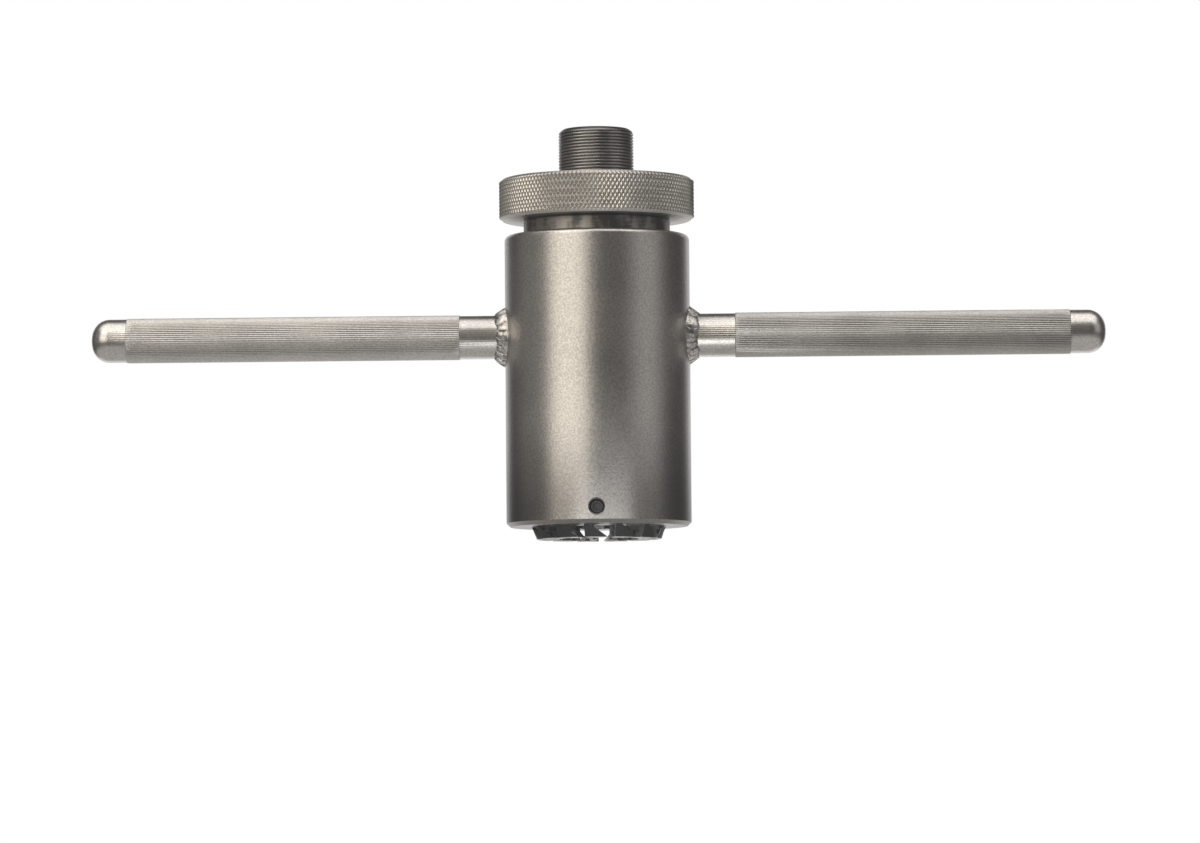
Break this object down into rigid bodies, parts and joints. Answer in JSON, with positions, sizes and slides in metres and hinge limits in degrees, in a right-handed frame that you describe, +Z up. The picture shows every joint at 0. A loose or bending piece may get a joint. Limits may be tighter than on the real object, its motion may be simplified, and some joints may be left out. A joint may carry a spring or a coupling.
{
  "type": "crown race facing tool",
  "caption": "Two-handled hand tool: a sleeve body with a toothed ring cutter turns on a fork's steering column, pressed down by a spring under a knurled nut.",
  "frame": {"origin": "on the tool's axis, in the plane of the cutter's teeth, which is the fork crown's machined face", "axes": "+Z up the steering column towards the knob; X along the two handles; -Y is the front, the side with the cutter's first set screw"},
  "size_m": [0.343, 0.066, 0.1389],
  "materials": {
    "satin_nickel": "bead-blasted, satin nickel plate over steel",
    "grip_nickel": "nickel plate over a fine straight knurl, polished domed tip",
    "weld_bead": "nickel-plated weld ripple",
    "black_oxide": "black oxide on hardened tool steel, ground teeth",
    "knob_nickel": "nickel plate over a fine diamond knurl",
    "turned_steel": "turned steel, lightly oiled",
    "thread_steel": "dark turned thread",
    "zinc_fastener": "zinc-plated fastener",
    "ground_steel": "ground bearing steel",
    "spring_steel": "oil-tempered spring wire",
    "ball_steel": "polished balls",
    "black_screw": "black oxide screw",
    "bronze": "sintered bronze",
    "cage_brass": "pressed brass",
    "black_rubber": "moulded nitrile"
  },
  "bodies": {
    "spindle": {"threaded_spindle": "thread_steel", "bolt_washer": "zinc_fastener", "jaw_ring": "black_rubber"},
    "draw_bolt": {"draw_bolt": "black_screw"},
    "wedge": {"expander_wedge": "ground_steel"},
    "jaw_1": {"expander_jaw_1": "turned_steel"},
    "jaw_2": {"expander_jaw_2": "turned_steel"},
    "jaw_3": {"expander_jaw_3": "turned_steel"},
    "pressure_sleeve": {"pressure_sleeve": "turned_steel", "sleeve_seal": "black_rubber", "guide_key": "ground_steel", "keyed_washer": "ground_steel"},
    "knob": {"knurled_knob": "knob_nickel"},
    "carriage": {"upper_thrust_race": "ground_steel", "spring_seat": "turned_steel", "pressure_spring": "spring_steel"},
    "ball_cage": {"ball_cage": "cage_brass", "thrust_balls": "ball_steel"},
    "body": {"main_body": "satin_nickel", "handle_left": "grip_nickel", "handle_right": "grip_nickel", "handle_welds": "weld_bead", "cutter": "black_oxide", "cutter_set_screws": "black_screw", "cutter_drive_pins": "ground_steel", "pilot_bushing": "bronze", "lower_thrust_race": "ground_steel", "retaining_ring": "spring_steel"}
  },
  "joints": [
    {"name": "draw_bolt_turn", "type": "hinge", "parent": "spindle", "child": "draw_bolt", "pos_m": [0, 0, 0.132], "axis": [0, 0, 1], "range_deg": [-1085, 0]},
    {"name": "wedge_rise", "type": "slide", "parent": "spindle", "child": "wedge", "axis": [0, 0, 1], "range_m": [0, 0.003]},
    {"name": "jaw_1_spread", "type": "slide", "parent": "spindle", "child": "jaw_1", "axis": [1, 0, 0], "range_m": [0, 0.00081], "deforming": ["jaw_ring"]},
    {"name": "jaw_2_spread", "type": "slide", "parent": "spindle", "child": "jaw_2", "axis": [-0.5, 0.866, 0], "range_m": [0, 0.00081]},
    {"name": "jaw_3_spread", "type": "slide", "parent": "spindle", "child": "jaw_3", "axis": [-0.5, -0.866, 0], "range_m": [0, 0.00081]},
    {"name": "sleeve_slide", "type": "slide", "parent": "spindle", "child": "pressure_sleeve", "axis": [0, 0, 1], "range_m": [-0.003, 0.0015], "deforming": ["pressure_spring"]},
    {"name": "knob_turn", "type": "hinge", "parent": "pressure_sleeve", "child": "knob", "pos_m": [0, 0, 0.1149], "axis": [0, 0, 1], "range_deg": [-1020, 510]},
    {"name": "feed_slide", "type": "slide", "parent": "spindle", "child": "carriage", "axis": [0, 0, 1], "range_m": [-0.0013, 0.0022], "stiffness_N_per_m": 14000},
    {"name": "body_turn", "type": "hinge", "parent": "carriage", "child": "body", "pos_m": [0, 0, 0.0506], "axis": [0, 0, 1], "continuous": true},
    {"name": "ball_cage_turn", "type": "hinge", "parent": "carriage", "child": "ball_cage", "pos_m": [0, 0, 0.0506], "axis": [0, 0, 1], "continuous": true}
  ],
  "couplings": [
    {"joint": "draw_bolt_turn", "follows": "wedge_rise", "rad_per_m": -6283.2},
    {"joint": "jaw_1_spread", "follows": "wedge_rise", "ratio": 0.26667},
    {"joint": "jaw_2_spread", "follows": "wedge_rise", "ratio": 0.26667},
    {"joint": "jaw_3_spread", "follows": "wedge_rise", "ratio": 0.26667},
    {"joint": "sleeve_slide", "follows": "knob_turn", "m_per_rad": 0.00016844},
    {"joint": "ball_cage_turn", "follows": "body_turn", "ratio": 0.5}
  ]
}
